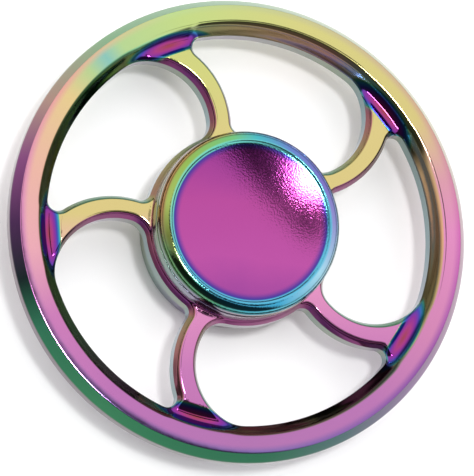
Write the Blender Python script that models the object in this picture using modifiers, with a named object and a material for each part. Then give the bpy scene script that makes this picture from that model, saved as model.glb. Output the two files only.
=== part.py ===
"""Fidget spinner: a five-spoke wheel on a 608 ball bearing, held between two round finger caps.

Metres, +Z up. The origin is the centre of the bearing and +Z is the axis the wheel spins about.
The wheel, the bearing and the caps are all the same above and below the mid-plane z = 0.
"""

from math import atan2, ceil, cos, pi, radians, sin, sqrt, tan, tau

import bmesh
import bpy
from mathutils import Matrix, Vector

MM = 0.001

# Wheel: rim, spokes and hub in one casting. Its walls are an upright band with a slope up to each face.
SPOKES = 5
RIM_OUTER_RADIUS = 30.0 * MM
RIM_INNER_RADIUS = 25.3 * MM
RIM_FACE_OUTER_RADIUS = 29.15 * MM
RIM_FACE_INNER_RADIUS = 26.6 * MM
RIM_HALF_THICKNESS = 2.5 * MM
RIM_ROUND = 0.32 * MM
BAND_HALF_HEIGHT = 0.9 * MM
BAND_ROUND = 0.4 * MM
SPOKE_HALF_THICKNESS = 2.0 * MM
SPOKE_SLOPE = 0.5 * MM
COLLAR_RADIUS = 11.95 * MM
COLLAR_HALF_HEIGHT = 4.0 * MM
COLLAR_ROUND = 0.25 * MM
PLATE_RADIUS = 27.5 * MM

# Windows between the spokes: a round belly on one side, the next spoke's convex edge on the other.
WINDOW_HUB_RADIUS = 12.0 * MM
WINDOW_RIM_RADIUS = 26.5 * MM
BELLY_CENTRE = (17.85 * MM, radians(59.7))
NEXT_SPOKE_CENTRE = (18.46 * MM, radians(61.9 + 72.0))
NEXT_SPOKE_RADIUS = 11.375 * MM
RIM_CORNER_RADIUS = 2.7 * MM
NEXT_HUB_CORNER_RADIUS = 1.8 * MM
BELLY_HUB_CORNER_RADIUS = 3.2 * MM
RIM_CORNER_NEAR = radians(95.0)
NEXT_HUB_CORNER_NEAR = radians(90.0)
BELLY_HUB_CORNER_NEAR = radians(40.0)
WINDOW_SPACING = 1.8 * MM

# Groove that each spoke's face drops into just before it meets the rim.
GROOVE_RADIUS = 1.6 * MM
GROOVE_RING_RADIUS = 25.2 * MM
GROOVE_HEIGHT = 2.95 * MM

# Bearing 608: 8 mm bore, 22 mm outside, 7 mm wide, seven balls of 5/32 inch.
BEARING_BORE_RADIUS = 4.0 * MM
BEARING_OUTER_RADIUS = 11.0 * MM
BEARING_HALF_WIDTH = 3.5 * MM
BALLS = 7
BALL_RADIUS = 1.9845 * MM
BALL_PITCH_RADIUS = 7.5 * MM
RACEWAY_RADIUS = 2.06 * MM
INNER_LAND_RADIUS = 6.05 * MM
OUTER_LAND_RADIUS = 9.05 * MM
INNER_RACEWAY_GAP = 0.04 * MM
OUTER_RACEWAY_GAP = 0.06 * MM
RACE_BORE_ROUND = 0.25 * MM
RACE_OUTER_ROUND = 0.3 * MM
SHIELD_SEAT_RADIUS = 10.05 * MM
SHIELD_SEAT_HEIGHT = 2.45 * MM
SHIELD_THICKNESS = 0.25 * MM
SHIELD_HEIGHT = 2.55 * MM
SHIELD_STEP = 0.2 * MM
SHIELD_INNER_RADIUS = 6.2 * MM
SHIELD_OUTER_RADIUS = 9.95 * MM
SHIELD_BEND_START = 8.6 * MM
SHIELD_BEND_END = 8.9 * MM
SHIELD_BEND_OFFSET = 0.1 * MM
SNAP_RING_RADIUS = 9.78 * MM
SNAP_RING_WIRE_RADIUS = 0.18 * MM
SNAP_RING_HEIGHT = 3.05 * MM
SNAP_RING_GAP = radians(12.0)

# Ball cage: two pressed ribbons, riveted between the balls.
RIBBON_INNER_RADIUS = 6.65 * MM
RIBBON_OUTER_RADIUS = 8.35 * MM
RIBBON_THICKNESS = 0.3 * MM
RIBBON_FLAT_HEIGHT = 0.2 * MM
POCKET_RADIUS = 2.25 * MM
RIVET_SHANK_RADIUS = 0.35 * MM
RIVET_HOLE_RADIUS = 0.45 * MM
RIVET_HEAD_RADIUS = 0.6 * MM
RIVET_HEAD_TOP_RADIUS = 0.42 * MM
RIVET_HEAD_BOTTOM = 0.4 * MM
RIVET_HEAD_TOP = 0.65 * MM

# Hub seat: the bearing slides in from above and stops on a lip.
SEAT_RADIUS = 11.1 * MM
SEAT_LIP_RADIUS = 10.6 * MM
SEAT_LIP_TOP = -3.6 * MM
CUT_OVERSHOOT = 1.0 * MM

# Finger caps, and the grub screw that joins them through the bearing.
CAP_RADIUS = 11.85 * MM
CAP_TOP = 6.0 * MM
CAP_UNDERSIDE = 4.35 * MM
CAP_OUTER_ROUND = 0.85 * MM
CAP_UNDER_ROUND = 0.2 * MM
LIP_INNER_RADIUS = 10.5 * MM
LIP_INNER_ROUND = 0.12 * MM
DISH_RADIUS = 10.2 * MM
DISH_EDGE_HEIGHT = 5.76 * MM
DISH_CENTRE_HEIGHT = 4.95 * MM
BOSS_RADIUS = 5.5 * MM
BOSS_FACE = 3.6 * MM
STEM_RADIUS = 3.9 * MM
STEM_END = 0.3 * MM
SCREW_RADIUS = 1.5 * MM
SCREW_HALF_LENGTH = 3.0 * MM
SCREW_CHAMFER = 0.3 * MM
SCREW_HOLE_RADIUS = 1.6 * MM
SCREW_HOLE_END = 3.7 * MM
SOCKET_ACROSS_CORNERS = 1.73 * MM
SOCKET_DEPTH = 1.2 * MM

RIM_STEPS = 60
HUB_STEPS = 40
BEARING_STEPS = 40
SCREW_STEPS = 24
RIVET_STEPS = 8
SNAP_RING_STEPS = 30
GROOVE_STEPS = 12
DISH_STEPS = 3
BALL_SEGMENTS = 16
BALL_RINGS = 8
MERGE_DISTANCE = 0.0001 * MM


def clear_scene():
    for obj in list(bpy.data.objects):
        bpy.data.objects.remove(obj)


def new_collection(name, hidden=False):
    collection = bpy.data.collections.new(name)
    collection.hide_render = hidden
    bpy.context.scene.collection.children.link(collection)
    return collection


def metal(name, colour, roughness):
    material = bpy.data.materials.new(name)
    material.use_nodes = True
    shader = material.node_tree.nodes["Principled BSDF"]
    shader.inputs["Base Color"].default_value = (*colour, 1.0)
    shader.inputs["Metallic"].default_value = 1.0
    shader.inputs["Roughness"].default_value = roughness
    return material


def polar(radius, angle):
    return Vector((radius * cos(angle), radius * sin(angle)))


def rounded(corners, steps=2):
    """The points of an open outline of (x, y, radius) corners, with each corner's radius as an arc."""
    points = []
    for index, (x, y, radius) in enumerate(corners):
        here = Vector((x, y))
        if not radius:
            points.append(here)
            continue
        before = (Vector(corners[index - 1][:2]) - here).normalized()
        after = (Vector(corners[index + 1][:2]) - here).normalized()
        half_angle = before.angle(after) / 2
        centre = here + (before + after).normalized() * radius / sin(half_angle)
        first = here + before * radius / tan(half_angle) - centre
        turn = first.angle_signed(here + after * radius / tan(half_angle) - centre)
        for step in range(steps + 1):
            points.append(centre + Matrix.Rotation(-turn * step / steps, 2) @ first)
    return points


def turned(name, outline, steps, material, collection, closed):
    """A solid of revolution about Z. The outline runs down its outer side, in (radius, height)."""
    mesh = bpy.data.meshes.new(name)
    count = len(outline)
    edges = [(i, (i + 1) % count) for i in range(count if closed else count - 1)]
    mesh.from_pydata([(x, 0.0, z) for x, z in outline], edges, [])
    obj = bpy.data.objects.new(name, mesh)
    collection.objects.link(obj)
    screw = obj.modifiers.new("Turn", "SCREW")
    screw.steps = steps
    screw.render_steps = steps
    screw.use_merge_vertices = True
    screw.merge_threshold = MERGE_DISTANCE
    mesh.materials.append(material)
    made = as_mesh(obj)
    shade_smooth(made)
    return made


def as_mesh(obj):
    """Replaces the object by the mesh that its curve or modifiers make, with loose caps joined."""
    graph = bpy.context.evaluated_depsgraph_get()
    mesh = bpy.data.meshes.new_from_object(obj.evaluated_get(graph))
    work = bmesh.new()
    work.from_mesh(mesh)
    bmesh.ops.remove_doubles(work, verts=work.verts, dist=MERGE_DISTANCE)
    work.to_mesh(mesh)
    work.free()
    made = bpy.data.objects.new(obj.name, mesh)
    made.matrix_world = obj.matrix_world
    for collection in obj.users_collection:
        collection.objects.link(made)
    name = obj.name
    bpy.data.objects.remove(obj)
    made.name = name
    return made


def boolean(obj, operation, other):
    modifier = obj.modifiers.new(f"{operation.title()} {other.name}", "BOOLEAN")
    modifier.operation = operation
    modifier.object = other
    modifier.solver = "EXACT"
    return modifier


def hide_tool(obj):
    obj.display_type = "WIRE"
    obj.hide_render = True


def shade_smooth(obj, angle=radians(30.0)):
    obj.data.shade_smooth()
    obj.data.set_sharp_from_angle(angle=angle)


def circles_meet(centre_a, radius_a, centre_b, radius_b, near):
    """The point where two circles cross, taking the one of the two that lies nearer to near."""
    apart = centre_b - centre_a
    distance = apart.length
    along = (radius_a**2 - radius_b**2 + distance**2) / (2 * distance)
    across = sqrt(radius_a**2 - along**2)
    unit = apart / distance
    side = Vector((-unit.y, unit.x))
    found = [centre_a + unit * along + side * across * sign for sign in (1, -1)]
    return min(found, key=lambda point: (point - near).length)


def arc_between(centre, start, end, turn, spacing):
    """Points from start up to, but not including, end, on the arc about centre that turns so."""
    radius = (start - centre).length
    first = atan2(start.y - centre.y, start.x - centre.x)
    sweep = (atan2(end.y - centre.y, end.x - centre.x) - first) * turn % tau
    steps = max(2, ceil(sweep * radius / spacing))
    return [centre + polar(radius, first + turn * sweep * i / steps) for i in range(steps)]


def window_outline(spacing):
    """The flat-face outline of the window after the first spoke, anticlockwise, as arcs."""
    hub = Vector((0.0, 0.0))
    belly = polar(*BELLY_CENTRE)
    belly_radius = WINDOW_RIM_RADIUS - BELLY_CENTRE[0]
    spoke = polar(*NEXT_SPOKE_CENTRE)

    rim_corner = circles_meet(
        hub,
        WINDOW_RIM_RADIUS - RIM_CORNER_RADIUS,
        spoke,
        NEXT_SPOKE_RADIUS + RIM_CORNER_RADIUS,
        near=polar(WINDOW_RIM_RADIUS, RIM_CORNER_NEAR),
    )
    next_corner = circles_meet(
        hub,
        WINDOW_HUB_RADIUS + NEXT_HUB_CORNER_RADIUS,
        spoke,
        NEXT_SPOKE_RADIUS + NEXT_HUB_CORNER_RADIUS,
        near=polar(WINDOW_HUB_RADIUS, NEXT_HUB_CORNER_NEAR),
    )
    belly_corner = circles_meet(
        hub,
        WINDOW_HUB_RADIUS + BELLY_HUB_CORNER_RADIUS,
        belly,
        belly_radius - BELLY_HUB_CORNER_RADIUS,
        near=polar(WINDOW_HUB_RADIUS, BELLY_HUB_CORNER_NEAR),
    )

    rim_start = polar(WINDOW_RIM_RADIUS, BELLY_CENTRE[1])
    rim_end = rim_corner.normalized() * WINDOW_RIM_RADIUS
    spoke_start = rim_corner + (spoke - rim_corner).normalized() * RIM_CORNER_RADIUS
    spoke_end = next_corner + (spoke - next_corner).normalized() * NEXT_HUB_CORNER_RADIUS
    hub_start = next_corner.normalized() * WINDOW_HUB_RADIUS
    hub_end = belly_corner.normalized() * WINDOW_HUB_RADIUS
    belly_start = belly_corner + (belly_corner - belly).normalized() * BELLY_HUB_CORNER_RADIUS

    points = arc_between(hub, rim_start, rim_end, 1, spacing)
    points += arc_between(rim_corner, rim_end, spoke_start, 1, spacing)
    points += arc_between(spoke, spoke_start, spoke_end, -1, spacing)
    points += arc_between(next_corner, spoke_end, hub_start, 1, spacing)
    points += arc_between(hub, hub_start, hub_end, -1, spacing)
    points += arc_between(belly_corner, hub_end, belly_start, 1, spacing)
    points += arc_between(belly, belly_start, rim_start, 1, spacing)
    return points


def spoke_plate(name, material, collection):
    """A disc with the windows left out, whose walls slope out from each face to an upright band."""
    # A curve's bevel is as high as it is wide, so the plate is made low and then stretched.
    stretch = (SPOKE_HALF_THICKNESS - BAND_HALF_HEIGHT) / SPOKE_SLOPE
    curve = bpy.data.curves.new(name, "CURVE")
    curve.dimensions = "2D"
    curve.fill_mode = "BOTH"
    curve.extrude = BAND_HALF_HEIGHT / stretch
    curve.bevel_depth = SPOKE_SLOPE
    curve.bevel_resolution = 0
    curve.materials.append(material)
    rim = [polar(PLATE_RADIUS, tau * i / RIM_STEPS) for i in range(RIM_STEPS)]
    window = window_outline(WINDOW_SPACING)
    outlines = [rim]
    for index in range(SPOKES):
        turn = Matrix.Rotation(tau * index / SPOKES, 2)
        outlines.append([turn @ point for point in reversed(window)])
    for outline in outlines:
        spline = curve.splines.new("POLY")
        spline.points.add(len(outline) - 1)
        for point, place in zip(spline.points, outline, strict=True):
            point.co = (place.x, place.y, 0.0, 1.0)
        spline.use_cyclic_u = True
    obj = bpy.data.objects.new(name, curve)
    collection.objects.link(obj)
    plate = as_mesh(obj)
    plate.data.transform(Matrix.Scale(stretch, 4, (0.0, 0.0, 1.0)))
    return plate


def groove_tool(name, sign, material, tools):
    centre = Vector((GROOVE_RING_RADIUS, sign * GROOVE_HEIGHT))
    angles = [-tau * i / GROOVE_STEPS for i in range(GROOVE_STEPS)]
    outline = [centre + polar(GROOVE_RADIUS, angle) for angle in angles]
    tool = turned(name, outline, RIM_STEPS, material, tools, closed=True)
    hide_tool(tool)
    return tool


def wheel_body(material, parts, tools):
    rim_outline = rounded(
        [
            (RIM_INNER_RADIUS, 0.0, 0.0),
            (RIM_INNER_RADIUS, BAND_HALF_HEIGHT, BAND_ROUND),
            (RIM_FACE_INNER_RADIUS, RIM_HALF_THICKNESS, RIM_ROUND),
            (RIM_FACE_OUTER_RADIUS, RIM_HALF_THICKNESS, RIM_ROUND),
            (RIM_OUTER_RADIUS, BAND_HALF_HEIGHT, BAND_ROUND),
            (RIM_OUTER_RADIUS, -BAND_HALF_HEIGHT, BAND_ROUND),
            (RIM_FACE_OUTER_RADIUS, -RIM_HALF_THICKNESS, RIM_ROUND),
            (RIM_FACE_INNER_RADIUS, -RIM_HALF_THICKNESS, RIM_ROUND),
            (RIM_INNER_RADIUS, -BAND_HALF_HEIGHT, BAND_ROUND),
            (RIM_INNER_RADIUS, 0.0, 0.0),
        ]
    )[:-1]
    rim = turned("rim_ring", rim_outline, RIM_STEPS, material, tools, closed=True)
    hide_tool(rim)

    collar_outline = rounded(
        [
            (0.0, COLLAR_HALF_HEIGHT, 0.0),
            (COLLAR_RADIUS, COLLAR_HALF_HEIGHT, COLLAR_ROUND),
            (COLLAR_RADIUS, -COLLAR_HALF_HEIGHT, COLLAR_ROUND),
            (0.0, -COLLAR_HALF_HEIGHT, 0.0),
        ]
    )
    collar = turned("hub_collar", collar_outline, HUB_STEPS, material, tools, closed=False)
    hide_tool(collar)

    seat_outline = [
        (0.0, COLLAR_HALF_HEIGHT + CUT_OVERSHOOT),
        (SEAT_RADIUS, COLLAR_HALF_HEIGHT + CUT_OVERSHOOT),
        (SEAT_RADIUS, SEAT_LIP_TOP),
        (SEAT_LIP_RADIUS, SEAT_LIP_TOP),
        (SEAT_LIP_RADIUS, -COLLAR_HALF_HEIGHT - CUT_OVERSHOOT),
        (0.0, -COLLAR_HALF_HEIGHT - CUT_OVERSHOOT),
    ]
    seat = turned("bearing_seat", seat_outline, HUB_STEPS, material, tools, closed=False)
    hide_tool(seat)

    wheel = spoke_plate("wheel_body", material, parts)
    for name, sign in (("upper_groove", 1), ("lower_groove", -1)):
        boolean(wheel, "DIFFERENCE", groove_tool(name, sign, material, tools))
    boolean(wheel, "UNION", rim)
    boolean(wheel, "UNION", collar)
    boolean(wheel, "DIFFERENCE", seat)
    shade_smooth(wheel)
    return wheel


def raceway_arc(centre_radius, outward, half_height, steps=6):
    """The groove of a race from top to bottom: a circle about the ball, on its inner or outer side."""
    reach = atan2(half_height, sqrt(RACEWAY_RADIUS**2 - half_height**2))
    points = []
    for step in range(steps + 1):
        angle = reach - 2 * reach * step / steps
        side = cos(angle) if outward else -cos(angle)
        points.append((centre_radius + RACEWAY_RADIUS * side, RACEWAY_RADIUS * sin(angle)))
    return points


def inner_race(material, parts):
    centre = BALL_PITCH_RADIUS - BALL_RADIUS - INNER_RACEWAY_GAP + RACEWAY_RADIUS
    half_height = sqrt(RACEWAY_RADIUS**2 - (centre - INNER_LAND_RADIUS) ** 2)
    upper = rounded(
        [
            (BEARING_BORE_RADIUS, 0.0, 0.0),
            (BEARING_BORE_RADIUS, BEARING_HALF_WIDTH, RACE_BORE_ROUND),
            (INNER_LAND_RADIUS, BEARING_HALF_WIDTH, 0.0),
        ],
        steps=1,
    )[1:]
    lower = [(x, -z) for x, z in reversed(upper)]
    outline = upper + raceway_arc(centre, False, half_height) + lower
    return turned("bearing_inner_race", outline, BEARING_STEPS, material, parts, closed=True)


def outer_race(material, parts):
    centre = BALL_PITCH_RADIUS + BALL_RADIUS + OUTER_RACEWAY_GAP - RACEWAY_RADIUS
    half_height = sqrt(RACEWAY_RADIUS**2 - (OUTER_LAND_RADIUS - centre) ** 2)
    outside = rounded(
        [
            (SHIELD_SEAT_RADIUS, BEARING_HALF_WIDTH, 0.0),
            (BEARING_OUTER_RADIUS, BEARING_HALF_WIDTH, RACE_OUTER_ROUND),
            (BEARING_OUTER_RADIUS, -BEARING_HALF_WIDTH, RACE_OUTER_ROUND),
            (SHIELD_SEAT_RADIUS, -BEARING_HALF_WIDTH, 0.0),
        ],
        steps=1,
    )
    step_down = [
        (SHIELD_SEAT_RADIUS, -SHIELD_SEAT_HEIGHT),
        (OUTER_LAND_RADIUS, -SHIELD_SEAT_HEIGHT),
    ]
    step_up = [(x, -z) for x, z in reversed(step_down)]
    groove = list(reversed(raceway_arc(centre, True, half_height)))
    outline = outside + step_down + groove + step_up
    return turned("bearing_outer_race", outline, BEARING_STEPS, material, parts, closed=True)


def balls(material, parts, cage_axis):
    mesh = bpy.data.meshes.new("bearing_ball")
    work = bmesh.new()
    bmesh.ops.create_uvsphere(work, u_segments=BALL_SEGMENTS, v_segments=BALL_RINGS, radius=BALL_RADIUS)
    work.to_mesh(mesh)
    work.free()
    mesh.shade_smooth()
    mesh.materials.append(material)
    for index in range(BALLS):
        ball = bpy.data.objects.new(f"bearing_ball_{index + 1}", mesh)
        ball.location = (*polar(BALL_PITCH_RADIUS, tau * index / BALLS), 0.0)
        ball.parent = cage_axis
        parts.objects.link(ball)


def ribbon_path(arch_steps=8):
    """One pitch of a cage ribbon as (angle from the ball, height): an arch over it, then a flat."""
    foot = atan2(RIBBON_FLAT_HEIGHT, sqrt(POCKET_RADIUS**2 - RIBBON_FLAT_HEIGHT**2))
    path = []
    for step in range(arch_steps + 1):
        angle = pi - foot - (pi - 2 * foot) * step / arch_steps
        path.append((POCKET_RADIUS * cos(angle) / BALL_PITCH_RADIUS, POCKET_RADIUS * sin(angle)))
    path.append((pi / BALLS, RIBBON_FLAT_HEIGHT))
    return path


def cage_ribbon(name, sign, rivet_holes, material, parts):
    """A ring of sheet metal that arches over each ball, with a rivet hole in each flat."""
    columns = [
        (tau * ball / BALLS + angle, sign * height)
        for ball in range(BALLS)
        for angle, height in ribbon_path()
    ]
    work = bmesh.new()
    rows = [
        [work.verts.new((*polar(radius, angle), height)) for angle, height in columns]
        for radius in (RIBBON_INNER_RADIUS, RIBBON_OUTER_RADIUS)
    ]
    for here in range(len(columns)):
        after = (here + 1) % len(columns)
        work.faces.new((rows[0][here], rows[1][here], rows[1][after], rows[0][after]))
    mesh = bpy.data.meshes.new(name)
    work.to_mesh(mesh)
    work.free()
    mesh.materials.append(material)
    ribbon = bpy.data.objects.new(name, mesh)
    parts.objects.link(ribbon)
    sheet = ribbon.modifiers.new("Sheet", "SOLIDIFY")
    sheet.thickness = RIBBON_THICKNESS
    sheet.offset = 0.0
    sheet.use_even_offset = True
    boolean(ribbon, "DIFFERENCE", rivet_holes)
    shade_smooth(ribbon)
    return ribbon


def rivet_angle(index):
    return tau * (index + 0.5) / BALLS


def rivet_hole_tool(material, tools):
    mesh = bpy.data.meshes.new("rivet_holes")
    work = bmesh.new()
    for index in range(BALLS):
        bmesh.ops.create_cone(
            work,
            cap_ends=True,
            segments=RIVET_STEPS,
            radius1=RIVET_HOLE_RADIUS,
            radius2=RIVET_HOLE_RADIUS,
            depth=4 * RIVET_HEAD_TOP,
            matrix=Matrix.Translation((*polar(BALL_PITCH_RADIUS, rivet_angle(index)), 0.0)),
        )
    work.to_mesh(mesh)
    work.free()
    mesh.materials.append(material)
    tool = bpy.data.objects.new("rivet_holes", mesh)
    tools.objects.link(tool)
    hide_tool(tool)
    return tool


def cage_rivets(material, parts, cage_axis):
    upper = [
        (0.0, RIVET_HEAD_TOP),
        (RIVET_HEAD_TOP_RADIUS, RIVET_HEAD_TOP),
        (RIVET_HEAD_RADIUS, RIVET_HEAD_BOTTOM),
        (RIVET_SHANK_RADIUS, RIVET_HEAD_BOTTOM),
    ]
    outline = upper + [(x, -z) for x, z in reversed(upper)]
    for index in range(BALLS):
        name = f"cage_rivet_{index + 1}"
        rivet = turned(name, outline, RIVET_STEPS, material, parts, closed=False)
        rivet.location = (*polar(BALL_PITCH_RADIUS, rivet_angle(index)), 0.0)
        rivet.parent = cage_axis


def shield(name, sign, material, parts):
    """A thin pressed disc: an outer flange on the race's step, and a raised inner part."""
    low = SHIELD_HEIGHT
    high = SHIELD_HEIGHT + SHIELD_STEP
    outline = [
        (SHIELD_INNER_RADIUS, high + SHIELD_THICKNESS),
        (SHIELD_BEND_START, high + SHIELD_THICKNESS),
        (SHIELD_BEND_END, low + SHIELD_THICKNESS),
        (SHIELD_OUTER_RADIUS, low + SHIELD_THICKNESS),
        (SHIELD_OUTER_RADIUS, low),
        (SHIELD_BEND_END - SHIELD_BEND_OFFSET, low),
        (SHIELD_BEND_START - SHIELD_BEND_OFFSET, high),
        (SHIELD_INNER_RADIUS, high),
    ]
    if sign < 0:
        outline = [(x, -z) for x, z in reversed(outline)]
    return turned(name, outline, BEARING_STEPS, material, parts, closed=True)


def snap_ring(name, sign, material, parts):
    """A split ring of round wire that holds a shield in the outer race."""
    curve = bpy.data.curves.new(name, "CURVE")
    curve.dimensions = "3D"
    curve.bevel_depth = SNAP_RING_WIRE_RADIUS
    curve.bevel_resolution = 1
    curve.use_fill_caps = True
    curve.materials.append(material)
    spline = curve.splines.new("POLY")
    spline.points.add(SNAP_RING_STEPS)
    for step, point in enumerate(spline.points):
        angle = SNAP_RING_GAP / 2 + (tau - SNAP_RING_GAP) * step / SNAP_RING_STEPS
        point.co = (*polar(SNAP_RING_RADIUS, angle), sign * SNAP_RING_HEIGHT, 1.0)
    ring = bpy.data.objects.new(name, curve)
    parts.objects.link(ring)
    return ring


def finger_cap(name, sign, material, parts):
    """A round cap with a dished top, a boss on the inner race and a stem in its bore."""
    corners = []
    for step in range(DISH_STEPS + 1):
        share = step / DISH_STEPS
        height = DISH_CENTRE_HEIGHT + (DISH_EDGE_HEIGHT - DISH_CENTRE_HEIGHT) * share**2
        corners.append((DISH_RADIUS * share, height, 0.0))
    corners += [
        (LIP_INNER_RADIUS, CAP_TOP, LIP_INNER_ROUND),
        (CAP_RADIUS, CAP_TOP, CAP_OUTER_ROUND),
        (CAP_RADIUS, CAP_UNDERSIDE, CAP_UNDER_ROUND),
        (BOSS_RADIUS, CAP_UNDERSIDE, 0.0),
        (BOSS_RADIUS, BOSS_FACE, 0.0),
        (STEM_RADIUS, BOSS_FACE, 0.0),
        (STEM_RADIUS, STEM_END, 0.0),
        (SCREW_HOLE_RADIUS, STEM_END, 0.0),
        (SCREW_HOLE_RADIUS, SCREW_HOLE_END, 0.0),
        (0.0, SCREW_HOLE_END, 0.0),
    ]
    outline = rounded(corners)
    if sign < 0:
        outline = [(x, -z) for x, z in reversed(outline)]
    return turned(name, outline, HUB_STEPS, material, parts, closed=False)


def cap_screw(material, parts, tools):
    """The headless screw with a hexagon socket that draws the two caps together."""
    top = SCREW_HALF_LENGTH
    outline = [
        (0.0, top),
        (SCREW_RADIUS - SCREW_CHAMFER, top),
        (SCREW_RADIUS, top - SCREW_CHAMFER),
        (SCREW_RADIUS, SCREW_CHAMFER - top),
        (SCREW_RADIUS - SCREW_CHAMFER, -top),
        (0.0, -top),
    ]
    screw = turned("cap_screw", outline, SCREW_STEPS, material, parts, closed=False)
    mesh = bpy.data.meshes.new("hexagon_socket")
    work = bmesh.new()
    bmesh.ops.create_cone(
        work,
        cap_ends=True,
        segments=6,
        radius1=SOCKET_ACROSS_CORNERS / 2,
        radius2=SOCKET_ACROSS_CORNERS / 2,
        depth=2 * SOCKET_DEPTH,
        matrix=Matrix.Translation((0.0, 0.0, top)),
    )
    work.to_mesh(mesh)
    work.free()
    mesh.materials.append(material)
    socket = bpy.data.objects.new("hexagon_socket", mesh)
    tools.objects.link(socket)
    hide_tool(socket)
    boolean(screw, "DIFFERENCE", socket)
    return screw


def axis_empty(name, collection):
    empty = bpy.data.objects.new(name, None)
    empty.empty_display_size = RIM_OUTER_RADIUS
    collection.objects.link(empty)
    return empty


def main():
    clear_scene()
    parts = new_collection("fidget_spinner")
    tools = new_collection("cutters", hidden=True)
    plated = metal("plated_casting", (0.78, 0.55, 0.6), 0.08)
    satin = metal("satin_cap", (0.62, 0.2, 0.55), 0.3)
    bearing_steel = metal("bearing_steel", (0.62, 0.63, 0.65), 0.2)
    sheet_steel = metal("sheet_steel", (0.5, 0.5, 0.52), 0.35)

    core_axis = axis_empty("core_axis", parts)
    wheel_axis = axis_empty("wheel_axis", parts)
    cage_axis = axis_empty("cage_axis", parts)

    finger_cap("upper_cap", 1, satin, parts).parent = core_axis
    finger_cap("lower_cap", -1, satin, parts).parent = core_axis
    cap_screw(bearing_steel, parts, tools).parent = core_axis
    inner_race(bearing_steel, parts).parent = core_axis

    wheel_body(plated, parts, tools).parent = wheel_axis
    outer_race(bearing_steel, parts).parent = wheel_axis
    shield("upper_shield", 1, sheet_steel, parts).parent = wheel_axis
    shield("lower_shield", -1, sheet_steel, parts).parent = wheel_axis
    snap_ring("upper_snap_ring", 1, sheet_steel, parts).parent = wheel_axis
    snap_ring("lower_snap_ring", -1, sheet_steel, parts).parent = wheel_axis

    rivet_holes = rivet_hole_tool(sheet_steel, tools)
    cage_ribbon("cage_upper_ribbon", 1, rivet_holes, sheet_steel, parts).parent = cage_axis
    cage_ribbon("cage_lower_ribbon", -1, rivet_holes, sheet_steel, parts).parent = cage_axis
    cage_rivets(sheet_steel, parts, cage_axis)
    balls(bearing_steel, parts, cage_axis)


main()
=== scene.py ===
"""Looks of the fidget spinner: a plated wheel casting, two finger caps and a shielded ball bearing.

Sizes are millimetres until a mesh is made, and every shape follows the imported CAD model.
"""

from math import cos, pi, radians, sin, sqrt, tau

import bpy
import numpy as np
from mathutils import Matrix, Vector
from mathutils.geometry import delaunay_2d_cdt


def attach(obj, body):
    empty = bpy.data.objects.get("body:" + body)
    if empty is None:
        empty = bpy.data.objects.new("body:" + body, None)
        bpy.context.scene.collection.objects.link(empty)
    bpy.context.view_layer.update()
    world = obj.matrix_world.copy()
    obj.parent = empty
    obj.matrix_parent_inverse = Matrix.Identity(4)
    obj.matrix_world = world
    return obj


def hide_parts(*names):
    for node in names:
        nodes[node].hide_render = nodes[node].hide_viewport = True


MM = 0.001

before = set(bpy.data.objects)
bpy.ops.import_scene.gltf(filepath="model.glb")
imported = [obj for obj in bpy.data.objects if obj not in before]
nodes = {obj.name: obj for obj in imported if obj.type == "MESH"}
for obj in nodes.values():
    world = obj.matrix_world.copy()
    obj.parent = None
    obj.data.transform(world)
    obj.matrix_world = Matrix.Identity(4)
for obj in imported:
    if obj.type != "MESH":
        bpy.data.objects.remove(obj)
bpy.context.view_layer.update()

# Wheel casting. Its walls are an upright band from -BAND to BAND, with a slope SLOPE wide up to
# each face. Heights are above the mid-plane, and the lower half mirrors the upper one.
SPOKES = 5
SPOKE_TURN = 360.0 / SPOKES
RIM_OUTER = 30.0
RIM_INNER = 25.3
RIM_TOP = 2.5
BAND = 0.9
SLOPE = 0.5
SPOKE_TOP = 2.0
JOIN_RADIUS = 27.2  # the meshed spokes meet the turned rim here

# A window's outline at the faces: hub, rim, the bulging side (belly) and the next spoke's hollow
# side. BELLY is its arc's centre and NEXT_SPOKE its arc's centre and radius, as radius and degrees.
HUB_FLAT = 12.0
RIM_FLAT = RIM_INNER + SLOPE
BELLY = (17.85, 59.7)
BELLY_RIM = 26.5
NEXT_SPOKE = (18.46, 133.9, 11.375)
RIM_CORNER = 1.8
BELLY_RIM_CORNER = 5.5
NEXT_CORNER = 1.8
BELLY_CORNER = 3.2

# How steeply the walls rise, and between which radii that changes; the crown of a spoke and the
# roundness of the rim's face; and how softly two surfaces run into each other.
SPOKE_RISE = 2.2
RIM_RISE = 1.23
RISE_CHANGE = (23.6, 25.4)
CROWN = 0.02
CROWN_START = 0.6
RIM_CREST = 27.7
RIM_FACE_INNER = 26.2
RIM_DROP = 0.03
RIM_DROP_REACH = 1.2
GROOVE_RING = 25.2
GROOVE_CENTRE = 2.95
GROOVE_RADIUS = 1.6
GROOVE_BLEND = 0.35
RIM_WALL_BLEND = 0.5
RIM_FACE_BLEND = 0.45
EDGE_BLEND = 0.55

# Collar round the bearing, with the seat inside it.
COLLAR = 11.95
COLLAR_TOP = 4.0
COLLAR_SIDE_TOP = 3.75
COLLAR_ROUND = 0.08
FILLET = 0.3
SEAT_RADIUS = 11.1
SEAT_LIP = 10.6
SEAT_FLOOR = -3.6
SEAT_CHAMFER = 0.1

# Finger cap.
CAP_RADIUS = 11.85
CAP_TOP = 6.0
CAP_UNDER = 4.15
CAP_ROUND = 1.25
DISH_RADIUS = 10.15
DISH_LOW = 4.95
DISH_RISE = 0.79
BOSS_RADIUS = 5.5
BOSS_END = 3.6
STEM_RADIUS = 3.9
STEM_END = 0.3
BORE_RADIUS = 1.6
BORE_END = 3.7

# Points round the hub and caps, and round the rim.
HUB_COUNT = 240
RIM_COUNT = 600
OUTLINE_SPACING = 0.3
FLIP = np.array((1.0, 1.0, -1.0))
FAR = 1e9
TINY = 0.004


def polar(radius, degrees):
    return np.array((radius * cos(radians(degrees)), radius * sin(radians(degrees))))


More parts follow.
